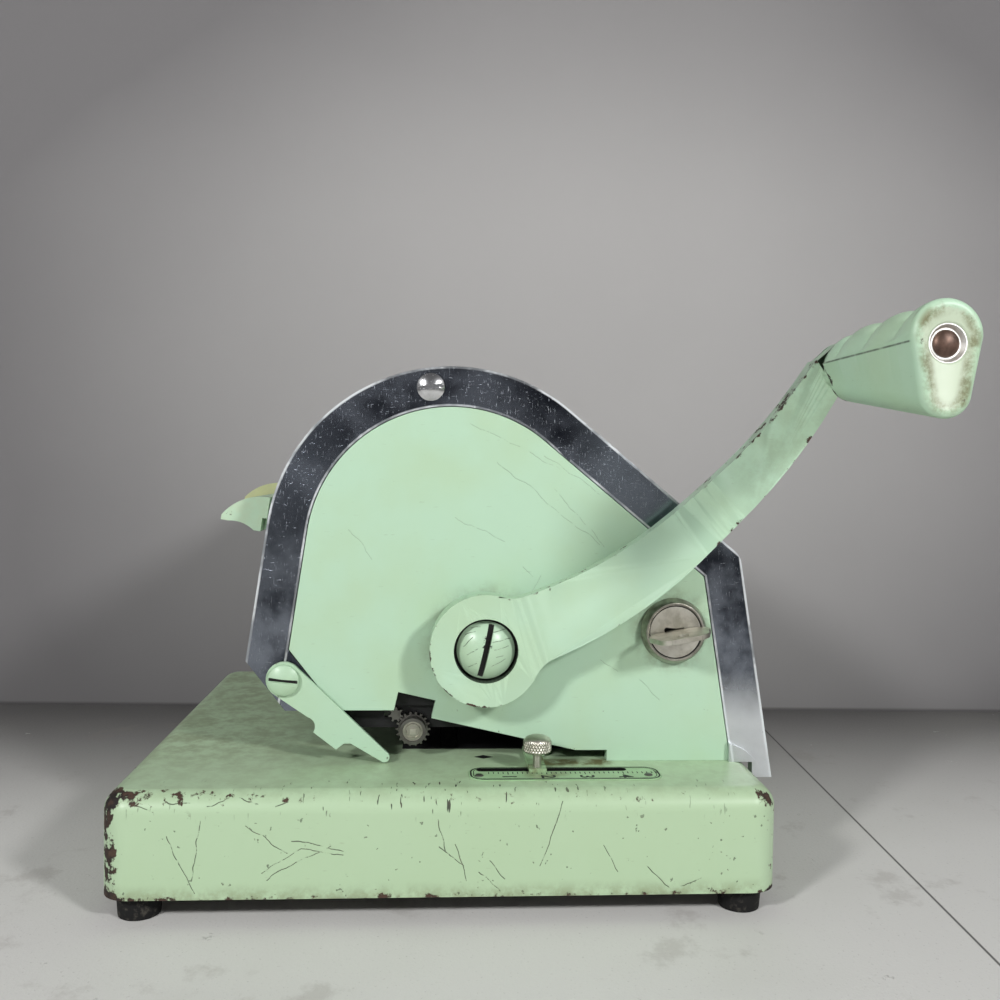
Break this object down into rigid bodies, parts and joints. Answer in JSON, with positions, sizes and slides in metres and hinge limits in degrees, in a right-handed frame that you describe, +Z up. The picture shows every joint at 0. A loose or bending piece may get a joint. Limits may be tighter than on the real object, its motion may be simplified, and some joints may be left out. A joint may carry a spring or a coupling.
{
  "type": "cheque writer",
  "caption": "Lever-operated cheque writer: index levers set an amount and a pulled side handle lifts the platen to print it; paper stop with scale, line pointer, keyed lock.",
  "frame": {"origin": "centre of the base's footprint, on the table", "axes": "+X to the handle's side, -Y to the front where the index levers are, +Z up"},
  "size_m": [0.35, 0.3272, 0.2555],
  "materials": {
    "mint_enamel": "glossy enamel, chipped and worn",
    "mint_plastic": "glossy, dirty at the edges",
    "cream_plastic": "glossy, yellowed",
    "bright_trim": "polished, finely scratched",
    "steel": "plain, dull",
    "nickel": "nickel-plated, tarnished",
    "dark_metal": "black, matt",
    "rubber": "black rubber",
    "rusty_steel": "rusted"
  },
  "bodies": {
    "base": {"base_pan": "mint_enamel", "bottom_plate": "steel", "base_posts": "steel", "rubber_feet": "rubber", "foot_screws": "steel", "gauge_plate": "mint_enamel", "gauge_rivets": "steel", "bed_plate": "dark_metal", "guide_posts": "steel", "side_plate_right": "mint_enamel", "side_plate_left": "mint_enamel", "side_trim_right": "bright_trim", "side_trim_left": "bright_trim", "front_cover": "mint_enamel", "rear_cover": "mint_enamel", "tie_rods": "steel", "tie_screws": "steel", "trim_screws": "bright_trim", "head_screws": "steel", "shaft_bushes": "nickel", "shaft_blocks": "steel", "lever_shaft": "steel", "detent_bar": "steel", "detent_springs": "steel", "carriage_rails": "dark_metal", "lock_body": "nickel", "lock_nut": "nickel", "pointer_screw": "mint_enamel", "spring_posts": "steel"},
    "handle": {"handle_arm": "mint_enamel", "hub_screw": "mint_enamel", "grip": "mint_plastic", "grip_stud": "rusty_steel", "main_shaft": "steel", "crank_arms": "steel"},
    "platen": {"lift_plates": "steel", "platen_yoke": "steel", "platen_beam": "steel", "platen_strip": "rubber", "return_springs": "steel"},
    "carriage": {"ink_carriage": "dark_metal"},
    "roller": {"ink_roller": "rubber", "roller_gear": "nickel"},
    "pinion": {"feed_pinion": "nickel"},
    "stop": {"stop_slider": "steel"},
    "thumb": {"thumb_screw": "nickel"},
    "lock": {"lock_plug": "nickel", "lock_cam": "steel"},
    "key": {"key": "nickel"},
    "pointer": {"line_pointer": "mint_enamel"},
    "lever_1": {"index_lever_1": "mint_plastic"},
    "lever_2": {"index_lever_2": "mint_plastic"},
    "lever_3": {"index_lever_3": "mint_plastic"},
    "lever_4": {"index_lever_4": "mint_plastic"},
    "lever_5": {"index_lever_5": "cream_plastic"},
    "lever_6": {"index_lever_6": "cream_plastic"},
    "lever_7": {"index_lever_7": "cream_plastic"},
    "lever_8": {"index_lever_8": "cream_plastic"},
    "lever_9": {"index_lever_9": "cream_plastic"}
  },
  "joints": [
    {"name": "handle_pull", "type": "hinge", "parent": "base", "child": "handle", "pos_m": [0, 0.0176, 0.1113], "axis": [1, 0, 0], "range_deg": [0, 75], "stiffness_Nm_per_rad": 2, "springref_deg": -17.19},
    {"name": "platen_lift", "type": "slide", "parent": "base", "child": "platen", "axis": [0, 0, 1], "range_m": [0, 0.0163], "deforming": ["return_springs"]},
    {"name": "lever_1_set", "type": "hinge", "parent": "base", "child": "lever_1", "pos_m": [0.054, 0.0018, 0.155], "axis": [1, 0, 0], "range_deg": [-31.5, 0]},
    {"name": "lever_2_set", "type": "hinge", "parent": "base", "child": "lever_2", "pos_m": [0.0405, 0.0018, 0.155], "axis": [1, 0, 0], "range_deg": [-31.5, 0]},
    {"name": "lever_3_set", "type": "hinge", "parent": "base", "child": "lever_3", "pos_m": [0.027, 0.0018, 0.155], "axis": [1, 0, 0], "range_deg": [-31.5, 0]},
    {"name": "lever_4_set", "type": "hinge", "parent": "base", "child": "lever_4", "pos_m": [0.0135, 0.0018, 0.155], "axis": [1, 0, 0], "range_deg": [-31.5, 0]},
    {"name": "lever_5_set", "type": "hinge", "parent": "base", "child": "lever_5", "pos_m": [0, 0.0018, 0.155], "axis": [1, 0, 0], "range_deg": [-28, 3.5]},
    {"name": "lever_6_set", "type": "hinge", "parent": "base", "child": "lever_6", "pos_m": [-0.0135, 0.0018, 0.155], "axis": [1, 0, 0], "range_deg": [-28, 3.5]},
    {"name": "lever_7_set", "type": "hinge", "parent": "base", "child": "lever_7", "pos_m": [-0.027, 0.0018, 0.155], "axis": [1, 0, 0], "range_deg": [-28, 3.5]},
    {"name": "lever_8_set", "type": "hinge", "parent": "base", "child": "lever_8", "pos_m": [-0.0405, 0.0018, 0.155], "axis": [1, 0, 0], "range_deg": [-28, 3.5]},
    {"name": "lever_9_set", "type": "hinge", "parent": "base", "child": "lever_9", "pos_m": [-0.054, 0.0018, 0.155], "axis": [1, 0, 0], "range_deg": [-28, 3.5]},
    {"name": "carriage_draw", "type": "slide", "parent": "base", "child": "carriage", "axis": [0, -1, 0], "range_m": [0, 0.022]},
    {"name": "roller_spin", "type": "hinge", "parent": "carriage", "child": "roller", "pos_m": [0, -0.0156, 0.0697], "axis": [1, 0, 0], "continuous": true},
    {"name": "pinion_spin", "type": "hinge", "parent": "carriage", "child": "pinion", "pos_m": [0.075, -0.0238, 0.07658], "axis": [1, 0, 0], "continuous": true},
    {"name": "stop_slide", "type": "slide", "parent": "base", "child": "stop", "axis": [0, 1, 0], "range_m": [-0.0255, 0.0285]},
    {"name": "thumb_turn", "type": "hinge", "parent": "stop", "child": "thumb", "pos_m": [0.099, 0.0418, 0.068], "axis": [0, 0, 1], "continuous": true},
    {"name": "lock_turn", "type": "hinge", "parent": "base", "child": "lock", "pos_m": [0.084, 0.1072, 0.1187], "axis": [1, 0, 0], "range_deg": [0, 90]},
    {"name": "key_draw", "type": "slide", "parent": "lock", "child": "key", "axis": [1, 0, 0], "range_m": [0, 0.03]},
    {"name": "pointer_lift", "type": "hinge", "parent": "base", "child": "pointer", "pos_m": [0.086, -0.0753, 0.0953], "axis": [1, 0, 0], "range_deg": [0, 35]}
  ],
  "couplings": [
    {"joint": "platen_lift", "follows": "handle_pull", "m_per_rad": 0.01245},
    {"joint": "pinion_spin", "follows": "roller_spin", "ratio": -2.5714}
  ]
}
